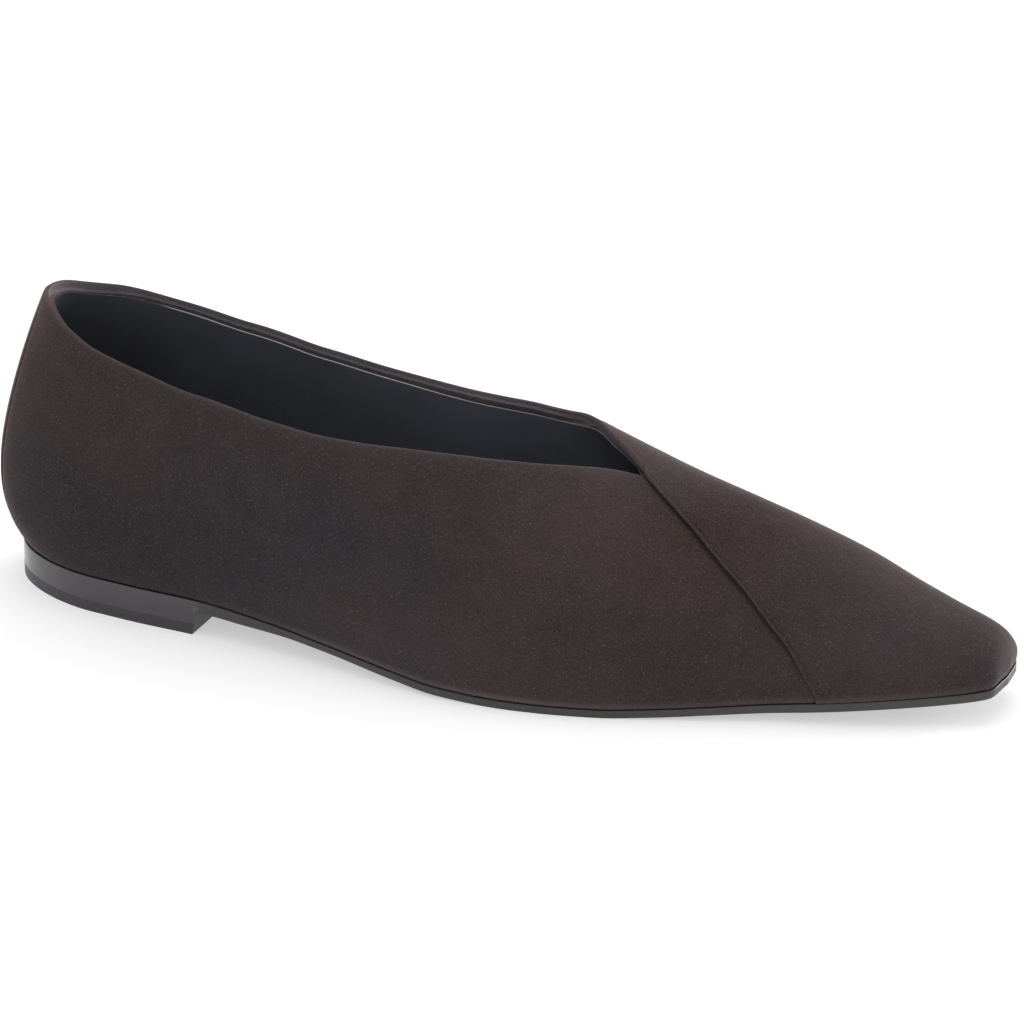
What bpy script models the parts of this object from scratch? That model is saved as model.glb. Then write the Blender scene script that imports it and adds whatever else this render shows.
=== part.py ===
"""Right flat shoe: snipped pointed toe, wrapped vamp in suede, thin sole and a low block heel.

Sizes are in millimetres from the heel's centre line: x towards the toe, y towards the inner side
of the foot, z up from the floor. The finished meshes are in metres, centred over the floor.
"""

from math import cos, exp, pi, radians, sin

import bmesh
import bpy
from mathutils import Vector

MM = 0.001

# The last: a row for each cross-section, from the centre of the back to the toe
FAN_STATION = 32.0
FAN_DEPTH = 28.1
TOE_STATION = 269.4
NOSE_LENGTH = 11.0
NOSE_POWER = 2.6
TOE_BULGE = 1.0
SECTION_COLUMNS = ("station", "lateral", "medial", "feather", "ridge", "ridge_shift", "bulge", "bulge_height")
SECTION_ROWS = (
    (0.0, 21.6, 22.0, 9.80, 93.0, 0.0, 7.00, 26.0),
    (16.0, 21.6, 22.0, 9.80, 95.0, 0.0, 5.80, 26.0),
    (32.0, 21.6, 22.0, 9.80, 99.0, 0.0, 4.00, 24.0),
    (45.0, 23.7, 24.0, 9.80, 98.0, 0.0, 3.40, 22.0),
    (60.0, 25.8, 25.0, 9.70, 96.0, 0.0, 3.00, 20.0),
    (80.0, 28.9, 24.0, 8.40, 91.0, 0.0, 2.60, 17.0),
    (100.0, 33.0, 23.2, 6.30, 84.5, 0.2, 2.30, 15.0),
    (120.0, 37.5, 24.2, 4.00, 76.7, 0.8, 2.00, 13.0),
    (132.0, 39.6, 26.6, 2.80, 70.4, 1.3, 1.90, 12.0),
    (145.0, 40.0, 30.1, 2.20, 63.9, 2.0, 1.80, 11.3),
    (158.0, 39.1, 33.4, 2.00, 58.7, 2.7, 1.65, 10.5),
    (172.0, 36.8, 35.2, 2.00, 52.3, 3.3, 1.50, 9.4),
    (186.0, 33.2, 34.9, 2.60, 46.2, 4.0, 1.35, 8.3),
    (200.0, 29.0, 32.6, 3.55, 41.0, 4.5, 1.20, 7.3),
    (215.0, 24.4, 29.0, 4.75, 35.5, 4.6, 1.05, 6.4),
    (230.0, 20.8, 25.2, 5.95, 29.3, 4.5, 0.95, 5.7),
    (245.0, 16.8, 20.6, 7.40, 21.5, 4.0, 0.75, 5.2),
    (258.0, 12.3, 16.3, 8.60, 15.7, 3.2, 0.50, 4.6),
    (265.5, 9.3, 14.0, 9.40, 12.9, 2.8, 0.35, 4.0),
    (268.4, 6.2, 11.6, 9.75, 12.0, 2.6, 0.25, 4.0),
    (269.4, 2.4, 8.6, 9.85, 11.5, 2.5, 0.20, 4.0),
)

# The collar's edge as angles up each section, lateral and medial, from the back to the throat
COLLAR_COLUMNS = ("station", "lateral", "medial")
COLLAR_ROWS = (
    (0.0, 48.3, 48.3),
    (8.0, 47.3, 47.4),
    (16.0, 44.9, 45.3),
    (24.0, 41.5, 42.8),
    (32.0, 39.0, 40.4),
    (45.0, 37.2, 38.8),
    (60.0, 35.9, 37.3),
    (75.0, 36.0, 37.8),
    (90.0, 37.8, 39.7),
    (105.0, 41.7, 42.7),
    (120.0, 47.8, 47.2),
    (132.0, 54.4, 53.8),
    (145.0, 61.7, 64.2),
    (154.5, 67.4, 80.5),
    (165.0, 74.2, 92.5),
    (174.5, 78.5, 101.5),
)

# The upper's wall and the wrap that crosses the lateral quarter
WALL = 1.6
THROAT_STATION = 174.5
THROAT_ANGLE = 78.5
RIB_POINTS = 13
WRAP_STEP = 1.1
WRAP_FADE_BACK = 25.0
WRAP_SLANT = 52.0
WRAP_SLANT_START = 60.0
WRAP_SLANT_POWER = 1.6
WRAP_CURVE = 1.75

# Runs of ribs: the first and last station of each, and how many ribs it has
RIB_RUNS = (
    (0.0, 32.0, 8),
    (32.0, 140.0, 18),
    (140.0, 174.5, 12),
    (174.5, 258.4, 16),
)
NOSE_RIBS = 8

# The sole, heel and insole
SEAT_GAP = 0.3
SOLE_MARGIN = 0.5
SOLE_EDGE_BEVEL = 0.5
SOLE_COLUMNS = ("station", "thickness")
SOLE_ROWS = (
    (0.0, 3.4),
    (58.0, 3.4),
    (66.0, 2.95),
    (74.0, 2.75),
    (80.0, 2.35),
    (92.0, 1.7),
    (104.0, 1.6),
    (116.0, 1.85),
    (130.0, 2.0),
    (200.0, 2.0),
    (230.0, 2.2),
    (269.4, 2.1),
)
BREAST_STATION = 60.2
BREAST_SLANT = 3.4
BREAST_SKEW = 0.08
HEEL_MARGIN = 0.5
HEEL_PITCH = 0.9
HEEL_TIP_HEIGHT = 3.0
HEEL_TIP_MARGIN = 0.6
HEEL_TIP_BEVEL = 0.25
INSOLE_INSET = 2.2
INSOLE_THICKNESS = 2.0
PLATE_STEP = 6.0
FAN_STEPS = 10

SHARP_ANGLE = 35.0


def smooth_value(columns, rows, name, position):
    """Value of a named column at a position along the table, eased between rows without overshoot."""
    column = columns.index(name)
    places = [row[0] for row in rows]
    values = [row[column] for row in rows]
    if position <= places[0]:
        return values[0]
    if position >= places[-1]:
        return values[-1]
    spans = [after - before for before, after in zip(places, places[1:])]
    slopes = [(after - before) / span for before, after, span in zip(values, values[1:], spans)]
    tangents = [slopes[0]]
    for index in range(1, len(slopes)):
        before = slopes[index - 1]
        after = slopes[index]
        if before * after <= 0.0:
            tangents.append(0.0)
        else:
            weight_before = 2.0 * spans[index] + spans[index - 1]
            weight_after = spans[index] + 2.0 * spans[index - 1]
            tangents.append((weight_before + weight_after) / (weight_before / before + weight_after / after))
    tangents.append(slopes[-1])
    index = max(i for i in range(len(spans)) if places[i] <= position)
    t = (position - places[index]) / spans[index]
    start = (2 * t**3 - 3 * t**2 + 1) * values[index] + (t**3 - 2 * t**2 + t) * spans[index] * tangents[index]
    end = (3 * t**2 - 2 * t**3) * values[index + 1] + (t**3 - t**2) * spans[index] * tangents[index + 1]
    return start + end


def section(station, name):
    return smooth_value(SECTION_COLUMNS, SECTION_ROWS, name, station)


def collar_angle(station, side_name):
    return radians(smooth_value(COLLAR_COLUMNS, COLLAR_ROWS, side_name, station))


def nose_share(station):
    return max(0.0, (station - (TOE_STATION - NOSE_LENGTH)) / NOSE_LENGTH)


def outline_point(station, side, margin):
    """Point of the feather line in plan; side is -1 for lateral and 1 for medial."""
    name = "lateral" if side < 0 else "medial"
    if station < FAN_STATION:
        turn = 0.5 * pi * station / FAN_STATION
        half_width = section(FAN_STATION, name) + margin
        return Vector((FAN_STATION - (FAN_DEPTH + margin) * cos(turn), side * half_width * sin(turn)))
    return Vector((station + margin * nose_share(station), side * (section(station, name) + margin)))


def last_point(station, angle):
    """Point of the last's skin; the angle runs from 0 at the lateral feather to pi at the medial one."""
    side = -1.0 if angle <= 0.5 * pi else 1.0
    edge = outline_point(station, side, 0.0)
    if station < FAN_STATION:
        turn = 0.5 * pi * station / FAN_STATION
        axis = Vector((FAN_STATION, 0.0))
        outward = Vector((-cos(turn), side * sin(turn)))
    else:
        axis = Vector((station, section(station, "ridge_shift")))
        outward = Vector((0.0, side))
    nose = max(0.0, 1.0 - nose_share(station) ** NOSE_POWER) ** (1.0 / NOSE_POWER)
    height = section(station, "ridge") * nose * sin(angle)
    reach = abs(cos(angle))
    share = height / section(station, "bulge_height")
    bulge = section(station, "bulge") * share * exp(1.0 - share) * reach
    plan = axis + (edge - axis) * reach + outward * bulge
    plan.x += TOE_BULGE * nose_share(station) * share * exp(1.0 - share)
    return Vector((plan.x, plan.y, section(station, "feather") + SEAT_GAP + height))


def rib_stations():
    """Stations of the ribs' upper ends, closer together at the throat and over the nose."""
    stations = [0.0]
    for first, last, count in RIB_RUNS:
        for step in range(1, count + 1):
            stations.append(first + (last - first) * step / count)
    for step in range(1, NOSE_RIBS + 1):
        stations.append(TOE_STATION - NOSE_LENGTH * (1.0 - sin(0.5 * pi * step / NOSE_RIBS)))
    return stations


def wrap_slant(station):
    """How far ahead of its upper end a lateral rib meets the sole."""
    if station <= THROAT_STATION:
        share = max(0.0, station - WRAP_SLANT_START) / (THROAT_STATION - WRAP_SLANT_START)
        return WRAP_SLANT * share**WRAP_SLANT_POWER
    return WRAP_SLANT * (TOE_STATION - station) / (TOE_STATION - THROAT_STATION)


def meeting_angle(station):
    """Angle at which the lateral and medial ribs meet ahead of the throat."""
    share = max(0.0, station - THROAT_STATION) / (TOE_STATION - THROAT_STATION)
    return radians(THROAT_ANGLE + (90.0 - THROAT_ANGLE) * share)


def lateral_rib(station):
    lower = station + wrap_slant(station)
    top = collar_angle(station, "lateral") if station < THROAT_STATION else meeting_angle(station)
    points = []
    for index in range(RIB_POINTS):
        share = index / (RIB_POINTS - 1)
        points.append(last_point(lower + (station - lower) * share**WRAP_CURVE, top * share))
    return points


def medial_rib(station):
    top = pi - meeting_angle(station)
    if station < THROAT_STATION:
        top = collar_angle(station, "medial")
    return [last_point(station, pi - top * index / (RIB_POINTS - 1)) for index in range(RIB_POINTS)]


def wrap_height(station):
    """How far the wrap stands proud of the quarter at a rib."""
    if station < THROAT_STATION:
        return WRAP_STEP * max(0.0, 1.0 - (THROAT_STATION - station) / WRAP_FADE_BACK)
    return WRAP_STEP * (TOE_STATION - station) / (TOE_STATION - THROAT_STATION)


def weld_grid(mesh, lateral, medial, throat):
    """Vertices of one skin: the ribs share the centre back, and their upper ends ahead of the throat."""
    lateral_grid = [[mesh.verts.new(point) for point in rib] for rib in lateral]
    medial_grid = []
    for index, rib in enumerate(medial):
        row = [mesh.verts.new(point) for point in rib[:-1]]
        row.append(lateral_grid[index][-1] if index >= throat else mesh.verts.new(rib[-1]))
        medial_grid.append(row)
    for vert in medial_grid[0]:
        mesh.verts.remove(vert)
    medial_grid[0] = lateral_grid[0]
    return lateral_grid, medial_grid


def skin_faces(mesh, grid, flip):
    for rib, following in zip(grid, grid[1:]):
        for index in range(len(rib) - 1):
            corners = [rib[index], following[index], following[index + 1], rib[index + 1]]
            if flip:
                corners.reverse()
            mesh.faces.new(corners)


def band_faces(mesh, outer, inner):
    """Strip of faces between two edges of the wall; a shared or repeated corner gives a triangle."""
    for index in range(len(outer) - 1):
        corners = [outer[index], inner[index], inner[index + 1], outer[index + 1]]
        if inner[index] is inner[index + 1]:
            corners.pop(2)
        mesh.faces.new(corners)


def skin_normals(lateral, medial, throat):
    """Outward directions at the points of both kinds of rib, level at the sole and the toe's end."""
    mesh = bmesh.new()
    lateral_grid, medial_grid = weld_grid(mesh, lateral, medial, throat)
    skin_faces(mesh, lateral_grid, False)
    skin_faces(mesh, medial_grid, True)
    mesh.normal_update()
    normals = []
    for grid in (lateral_grid, medial_grid):
        rows = []
        for rib_index, rib in enumerate(grid):
            row = []
            for index, vert in enumerate(rib):
                normal = vert.normal.copy()
                if index == 0 or rib_index == len(grid) - 1:
                    normal.z = 0.0
                    normal.normalize()
                row.append(normal)
            rows.append(row)
        normals.append(rows)
    mesh.free()
    return normals


def build_upper():
    """One hollow wall: both quarters and the vamp, with the wrap standing proud at its edge."""
    stations = rib_stations()
    throat = stations.index(THROAT_STATION)
    lateral = [lateral_rib(station) for station in stations]
    medial = [medial_rib(station) for station in stations]
    lateral_normals, medial_normals = skin_normals(lateral, medial, throat)

    def moved(ribs, normals, distance):
        rows = []
        for rib_index, rib in enumerate(ribs):
            row = []
            for index, point in enumerate(rib):
                row.append(point + normals[rib_index][index] * distance(rib_index, index))
            rows.append(row)
        return rows

    def inward(rib_index, index):
        return -WALL

    def lateral_wrap(rib_index, index):
        return wrap_height(stations[rib_index]) if rib_index > throat else 0.0

    def medial_wrap(rib_index, index):
        return wrap_height(stations[rib_index]) * index / (RIB_POINTS - 1)

    mesh = bmesh.new()
    outer_lateral, outer_medial = weld_grid(
        mesh,
        moved(lateral, lateral_normals, lateral_wrap),
        moved(medial, medial_normals, medial_wrap),
        throat,
    )
    inner_lateral, inner_medial = weld_grid(
        mesh,
        moved(lateral, lateral_normals, inward),
        moved(medial, medial_normals, inward),
        throat,
    )

    # The wrap's edge is a second rib over the quarter's last one
    quarter_edge = outer_lateral[throat]
    wrap_edge = []
    for index, point in enumerate(lateral[throat]):
        wrap_edge.append(mesh.verts.new(point + lateral_normals[throat][index] * WRAP_STEP))
    outer_medial[throat][-1] = wrap_edge[-1]
    quarter = outer_lateral[: throat + 1]
    wrap = [wrap_edge] + outer_lateral[throat + 1 :]

    skin_faces(mesh, quarter, False)
    skin_faces(mesh, [quarter_edge, wrap_edge], False)
    skin_faces(mesh, wrap, False)
    skin_faces(mesh, outer_medial, True)
    skin_faces(mesh, inner_lateral, True)
    skin_faces(mesh, inner_medial, False)

    collar_outer = [rib[-1] for rib in quarter] + [wrap_edge[-1]]
    collar_inner = [rib[-1] for rib in inner_lateral[: throat + 1]] + [inner_lateral[throat][-1]]
    band_faces(mesh, collar_outer[::-1], collar_inner[::-1])
    medial_outer = [rib[-1] for rib in outer_medial[: throat + 1]]
    medial_inner = [rib[-1] for rib in inner_medial[: throat + 1]]
    band_faces(mesh, medial_outer, medial_inner)

    sole_outer = [rib[0] for rib in quarter] + [rib[0] for rib in wrap]
    sole_inner = [rib[0] for rib in inner_lateral[: throat + 1]] + [rib[0] for rib in inner_lateral[throat:]]
    sole_outer += wrap[-1][1:] + outer_medial[-1][-2::-1] + [rib[0] for rib in outer_medial[-2::-1]]
    sole_inner += inner_lateral[-1][1:] + inner_medial[-1][-2::-1] + [rib[0] for rib in inner_medial[-2::-1]]
    band_faces(mesh, sole_outer, sole_inner)
    return mesh


def plate_stations(last):
    """Stations along a plate, closer together round the back and over the toe."""
    stations = [FAN_STATION * step / FAN_STEPS for step in range(FAN_STEPS)]
    station = FAN_STATION
    while station < last - PLATE_STEP:
        stations.append(station)
        station += PLATE_STEP
    return stations


def stacked_plate(rings):
    """Closed solid from rings, lowest first; each ring is a lateral and a medial run of points."""
    mesh = bmesh.new()
    loops = []
    for lateral, medial in rings:
        lateral_verts = [mesh.verts.new(point) for point in lateral]
        medial_verts = [lateral_verts[0]] + [mesh.verts.new(point) for point in medial[1:]]
        loops.append((lateral_verts, medial_verts))
    for lateral_verts, medial_verts in (loops[0], loops[-1]):
        for index in range(len(lateral_verts) - 1):
            corners = [lateral_verts[index], lateral_verts[index + 1]]
            corners += [medial_verts[index + 1], medial_verts[index]]
            if index == 0:
                corners.pop()
            mesh.faces.new(corners)
    rounds = [lateral + medial[:0:-1] for lateral, medial in loops]
    for below, above in zip(rounds, rounds[1:]):
        for index in range(len(below)):
            after = (index + 1) % len(below)
            mesh.faces.new((below[index], below[after], above[after], above[index]))
    bmesh.ops.recalc_face_normals(mesh, faces=mesh.faces)
    return mesh


def sole_rings(margin, heights):
    """Rings of a plate over the whole length; each height is a function of the station and an inset."""
    stations = plate_stations(TOE_STATION - NOSE_LENGTH)
    for step in range(NOSE_RIBS + 1):
        stations.append(TOE_STATION - NOSE_LENGTH * (1.0 - sin(0.5 * pi * step / NOSE_RIBS)))
    rings = []
    for inset, height in heights:
        runs = []
        for side in (-1.0, 1.0):
            run = []
            for station in stations:
                plan = outline_point(station, side, margin - inset)
                run.append(Vector((plan.x, plan.y, height(station))))
            runs.append(run)
        rings.append(runs)
    return rings


def sole_top(station):
    return section(station, "feather")


def sole_bottom(station):
    return section(station, "feather") - smooth_value(SOLE_COLUMNS, SOLE_ROWS, "thickness", station)


def build_outsole():
    """Thin plate with the heel seat, arch, flat tread and toe spring; its lower edge is eased."""

    def above_bevel(station):
        return sole_bottom(station) + SOLE_EDGE_BEVEL

    heights = ((SOLE_EDGE_BEVEL, sole_bottom), (0.0, above_bevel), (0.0, sole_top))
    return stacked_plate(sole_rings(SOLE_MARGIN, heights))


def build_insole():
    """Sock board inside the upper's wall."""

    def lower(station):
        return section(station, "feather") + SEAT_GAP

    def upper(station):
        return section(station, "feather") + SEAT_GAP + INSOLE_THICKNESS

    return stacked_plate(sole_rings(-INSOLE_INSET, ((0.0, lower), (0.0, upper))))


def heel_rings(levels):
    """Rings of the heel; each level gives a height and the margin beyond the feather line."""
    rings = []
    for height, margin in levels:
        share_up = height / sole_bottom(0.0)
        runs = []
        for side in (-1.0, 1.0):
            run = []
            for station in plate_stations(BREAST_STATION):
                plan = outline_point(station, side, margin)
                rear_share = max(0.0, 1.0 - plan.x / FAN_STATION)
                plan.x += HEEL_PITCH * (1.0 - share_up) * rear_share
                run.append(Vector((plan.x, plan.y, height)))
            edge = outline_point(BREAST_STATION, side, margin)
            front = BREAST_STATION + BREAST_SLANT * share_up
            front += BREAST_SKEW * (edge.y + section(BREAST_STATION, "lateral"))
            run.append(Vector((front, edge.y, height)))
            runs.append(run)
        rings.append(runs)
    return rings


def build_heel():
    """Block between the sole's heel seat and the heel tip; its back slopes in towards the floor."""
    lower = HEEL_TIP_HEIGHT + SEAT_GAP
    upper = sole_bottom(0.0) - SEAT_GAP
    return stacked_plate(heel_rings(((lower, HEEL_TIP_MARGIN), (upper, HEEL_MARGIN))))


def build_heel_tip():
    """Worn layer on the floor, its lower edge eased."""
    levels = (
        (0.0, HEEL_TIP_MARGIN - HEEL_TIP_BEVEL),
        (HEEL_TIP_BEVEL, HEEL_TIP_MARGIN),
        (HEEL_TIP_HEIGHT, HEEL_TIP_MARGIN),
    )
    return stacked_plate(heel_rings(levels))


def plain_material(name, colour, roughness):
    material = bpy.data.materials.new(name)
    material.use_nodes = True
    shader = material.node_tree.nodes["Principled BSDF"]
    shader.inputs["Base Color"].default_value = (*colour, 1.0)
    shader.inputs["Roughness"].default_value = roughness
    shader.inputs["Metallic"].default_value = 0.0
    material.diffuse_color = (*colour, 1.0)
    return material


def middle_of(meshes):
    """Middle of the whole shoe's box in plan, which becomes the origin on the floor."""
    xs = [vert.co.x for mesh in meshes for vert in mesh.verts]
    ys = [vert.co.y for mesh in meshes for vert in mesh.verts]
    return Vector((0.5 * (min(xs) + max(xs)), 0.5 * (min(ys) + max(ys)), 0.0))


def finish(name, mesh, middle, material):
    for vert in mesh.verts:
        vert.co = (vert.co - middle) * MM
    data = bpy.data.meshes.new(name)
    mesh.to_mesh(data)
    mesh.free()
    data.materials.append(material)
    shoe_part = bpy.data.objects.new(name, data)
    bpy.context.scene.collection.objects.link(shoe_part)
    data.shade_smooth()
    data.set_sharp_from_angle(angle=radians(SHARP_ANGLE))


for existing in list(bpy.data.objects):
    bpy.data.objects.remove(existing, do_unlink=True)

suede = plain_material("brown_suede", (0.040, 0.031, 0.028), 0.95)
sole_leather = plain_material("dark_sole_leather", (0.050, 0.046, 0.045), 0.45)
heel_lacquer = plain_material("dark_heel_finish", (0.055, 0.053, 0.057), 0.25)
tip_rubber = plain_material("black_heel_rubber", (0.036, 0.034, 0.036), 0.55)
lining_leather = plain_material("black_lining_leather", (0.015, 0.015, 0.018), 0.50)

parts = (
    ("upper", build_upper(), suede),
    ("outsole", build_outsole(), sole_leather),
    ("heel", build_heel(), heel_lacquer),
    ("heel_tip", build_heel_tip(), tip_rubber),
    ("insole", build_insole(), lining_leather),
)
middle = middle_of([mesh for name, mesh, material in parts])
for name, mesh, material in parts:
    finish(name, mesh, middle, material)
print("middle of the box in plan, mm", round(middle.x, 4), round(middle.y, 4))
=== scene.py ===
# %% [markdown]
# A pointed suede flat, dressed over its solids
#
# The solids of the shoe are already built: a hollow upper, a thin outsole, a low heel with its tip
# and an insole. This lesson dresses them as a shoemaker would, piece by piece: two suede pieces, a
# leather lining, a sock, the sole and the heel. Everything is in metres in the solids' own frame,
# with +X to the toe, +Y to the inner side of the foot and +Z up from the floor.

# %% Load the solids
from bisect import bisect_right
from math import cos, exp, pi, radians, sin

import bmesh
import bpy
from mathutils import Matrix, Vector


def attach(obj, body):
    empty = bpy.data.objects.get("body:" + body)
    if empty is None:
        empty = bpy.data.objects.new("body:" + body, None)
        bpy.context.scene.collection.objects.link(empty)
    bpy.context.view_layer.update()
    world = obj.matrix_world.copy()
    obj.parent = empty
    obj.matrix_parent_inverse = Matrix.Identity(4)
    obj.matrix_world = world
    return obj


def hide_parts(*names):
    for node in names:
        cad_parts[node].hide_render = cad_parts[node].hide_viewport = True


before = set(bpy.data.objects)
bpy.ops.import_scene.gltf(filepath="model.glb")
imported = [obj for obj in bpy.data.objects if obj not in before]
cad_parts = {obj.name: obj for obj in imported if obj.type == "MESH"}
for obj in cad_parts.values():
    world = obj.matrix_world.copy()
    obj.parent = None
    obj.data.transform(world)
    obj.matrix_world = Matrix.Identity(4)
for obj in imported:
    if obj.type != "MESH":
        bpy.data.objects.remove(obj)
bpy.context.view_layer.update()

# %% [markdown]
# A shoe is described by sizes at a few places along it. A value between two of them could be joined by
# straight lines, which would show as corners, or by a loose spline, which may swing too far. A monotone
# cubic curve is smooth and never goes past what its rows say, so that is used for every table here.

# %% A table that is read between its rows
class Table:
    """Rows of sizes along the shoe, read by the name of a column at any place between the rows."""

    def __init__(self, columns, rows):
        self.places = [row[0] for row in rows]
        self.spans = [after - before for before, after in zip(self.places, self.places[1:])]
        self.columns = {}
        for index, name in enumerate(columns[1:], start=1):
            values = [row[index] for row in rows]
            self.columns[name] = (values, self.tangents(values))

    def tangents(self, values):
        slopes = [(after - before) / span for before, after, span in zip(values, values[1:], self.spans)]
        result = [slopes[0]]
        for before, after, span_before, span_after in zip(slopes, slopes[1:], self.spans, self.spans[1:]):
            if before * after <= 0.0:
                result.append(0.0)
                continue
            weight_before = 2.0 * span_after + span_before
            weight_after = span_after + 2.0 * span_before
            result.append((weight_before + weight_after) / (weight_before / before + weight_after / after))
        return result + [slopes[-1]]

    def at(self, name, place):
        values, tangents = self.columns[name]
        if place <= self.places[0]:
            return values[0]
        if place >= self.places[-1]:
            return values[-1]
        index = bisect_right(self.places, place) - 1
        span = self.spans[index]
        t = (place - self.places[index]) / span
        start = (2 * t**3 - 3 * t**2 + 1) * values[index] + (t**3 - 2 * t**2 + t) * span * tangents[index]
        end = (3 * t**2 - 2 * t**3) * values[index + 1] + (t**3 - t**2) * span * tangents[index + 1]
        return start + end


print("halfway between 0 and 1:", Table(("place", "size"), ((0.0, 0.0), (1.0, 1.0))).at("size", 0.5))

# %% [markdown]
# The last is the foot-shaped form that a shoe is pulled over. Its sections are kept in one short
# table, in millimetres: how far the edge of the sole lies to each side, how high that edge is, how high
# the section rises, how far its ridge lies to the inner side, how much the wall swells and at what
# height. Two more tables give the angle where the collar ends on each side, and the sole's thickness.

# %% The last's tables
MM = 0.001
# Middle of the solids in the last's own millimetres, where the frame has its origin
MIDDLE = Vector((134.0619, -2.4521, 0.0))
LAST = Table(
    ("station", "lateral", "medial", "feather", "ridge", "ridge_shift", "bulge", "bulge_height"),
    (
        (0.0, 17.5, 17.8, 9.80, 94.2, 0.0, 7.15, 24.0),
        (16.0, 19.8, 20.0, 9.80, 95.2, 0.0, 5.90, 24.0),
        (32.0, 22.2, 22.2, 9.80, 99.0, 0.0, 4.00, 23.0),
        (45.0, 24.2, 24.0, 9.80, 98.0, 0.0, 3.40, 22.0),
        (60.0, 25.8, 25.0, 9.70, 96.0, 0.0, 3.00, 20.0),
        (80.0, 28.9, 24.0, 8.40, 91.0, 0.0, 2.60, 17.0),
        (100.0, 33.0, 23.2, 6.30, 84.5, 0.2, 2.30, 15.0),
        (120.0, 37.5, 24.2, 4.00, 76.7, 0.8, 2.00, 13.0),
        (132.0, 39.6, 26.6, 2.80, 70.4, 1.3, 1.90, 12.0),
        (145.0, 40.0, 30.1, 2.20, 63.9, 2.0, 1.80, 11.3),
        (158.0, 39.1, 33.4, 2.00, 58.7, 2.7, 1.65, 10.5),
        (172.0, 36.8, 35.2, 2.00, 52.3, 3.3, 1.50, 9.4),
        (186.0, 33.2, 34.9, 2.60, 46.2, 4.0, 1.35, 8.3),
        (200.0, 29.0, 32.6, 3.55, 41.0, 4.5, 1.20, 7.3),
        (215.0, 24.4, 29.0, 4.75, 35.5, 4.6, 1.05, 6.4),
        (230.0, 20.8, 25.2, 5.95, 29.3, 4.5, 0.95, 5.7),
        (245.0, 16.8, 20.6, 7.40, 21.5, 4.0, 0.75, 5.2),
        (258.0, 12.3, 16.3, 8.60, 15.7, 3.2, 0.50, 4.6),
        (265.5, 8.8, 14.0, 9.40, 12.7, 2.8, 0.35, 4.0),
        (267.7, 6.9, 12.3, 9.67, 12.2, 2.7, 0.28, 4.0),
        (268.2, 5.5, 11.8, 9.73, 12.0, 2.6, 0.26, 4.0),
        (268.6, 2.8, 11.2, 9.77, 11.9, 2.6, 0.24, 4.0),
        (269.4, -1.2, 8.2, 9.85, 11.5, 2.6, 0.20, 4.0),
    ),
)
COLLAR = Table(
    ("station", "lateral", "medial"),
    (
        (0.0, 48.7, 48.7),
        (8.0, 47.8, 48.0),
        (16.0, 46.1, 46.0),
        (24.0, 42.5, 43.3),
        (32.0, 39.2, 40.8),
        (45.0, 37.2, 39.1),
        (60.0, 35.6, 37.6),
        (75.0, 36.0, 38.0),
        (90.0, 37.8, 39.8),
        (105.0, 41.7, 42.8),
        (120.0, 47.8, 47.3),
        (132.0, 54.4, 54.0),
        (139.0, 58.2, 59.2),
        (145.0, 61.7, 63.8),
        (150.0, 64.3, 68.7),
        (154.5, 66.8, 75.2),
        (158.0, 69.1, 81.0),
        (161.0, 71.2, 85.5),
        (165.0, 74.4, 90.1),
        (170.0, 78.0, 94.2),
        (174.5, 80.5, 99.5),
    ),
)
SOLE = Table(
    ("station", "thickness"),
    (
        (0.0, 3.4),
        (58.0, 3.4),
        (66.0, 3.15),
        (74.0, 2.95),
        (80.0, 2.6),
        (92.0, 1.95),
        (104.0, 1.85),
        (116.0, 2.0),
        (130.0, 2.1),
        (200.0, 2.1),
        (230.0, 2.4),
        (269.4, 2.3),
    ),
)
print("sections", len(LAST.places), "collar rows", len(COLLAR.places))

# %% [markdown]
# A point of the last is named by its station along the foot and by an angle round the section, from
# 0 at the outer edge of the sole to 180 degrees at the inner one. Round the heel the sections fan out
# about an upright axis, and a negative station carries on across the back to the outer side.

# %% The last's surface
FAN_STATION = 32.0
FAN_DEPTH = 28.6
HEEL_FLARE = 0.145
TOE_STATION = 269.4
NOSE_LENGTH = 11.0
NOSE_POWER = 3.2
TOE_BULGE = 1.0
SEAT_GAP = 0.3
STATION_STEP = 0.2
ANGLE_STEP = 0.004


def nose_share(station):
    return max(0.0, (station - (TOE_STATION - NOSE_LENGTH)) / NOSE_LENGTH)


def outline_point(station, side, margin):
    """Edge of the sole in plan; side is -1 on the outer side of the foot and 1 on the inner."""
    name = "lateral" if side < 0 else "medial"
    if station < FAN_STATION:
        turn = 0.5 * pi * station / FAN_STATION
        depth = (FAN_DEPTH + margin) * cos(turn)
        half_width = (LAST.at(name, FAN_STATION) + margin - HEEL_FLARE * depth) * sin(turn)
        return Vector((FAN_STATION - depth, side * half_width))
    return Vector((station + margin * nose_share(station), side * (LAST.at(name, station) + margin)))


def last_point(station, angle):
    if station < 0.0:
        station = -station
        angle = pi - angle
    side = -1.0 if angle <= 0.5 * pi else 1.0
    edge = outline_point(station, side, 0.0)
    if station < FAN_STATION:
        turn = 0.5 * pi * station / FAN_STATION
        axis = Vector((FAN_STATION, 0.0))
        outward = Vector((-cos(turn), side * sin(turn)))
    else:
        axis = Vector((station, LAST.at("ridge_shift", station)))
        outward = Vector((0.0, side))
    nose = max(0.0, 1.0 - nose_share(station) ** NOSE_POWER) ** (1.0 / NOSE_POWER)
    height = LAST.at("ridge", station) * nose * sin(angle)
    reach = abs(cos(angle))
    share = height / LAST.at("bulge_height", station)
    swell = share * exp(1.0 - share)
    plan = axis + (edge - axis) * reach + outward * (LAST.at("bulge", station) * swell * reach)
    plan.x += TOE_BULGE * nose_share(station) * swell
    return Vector((plan.x, plan.y, LAST.at("feather", station) + SEAT_GAP + height))


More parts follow.
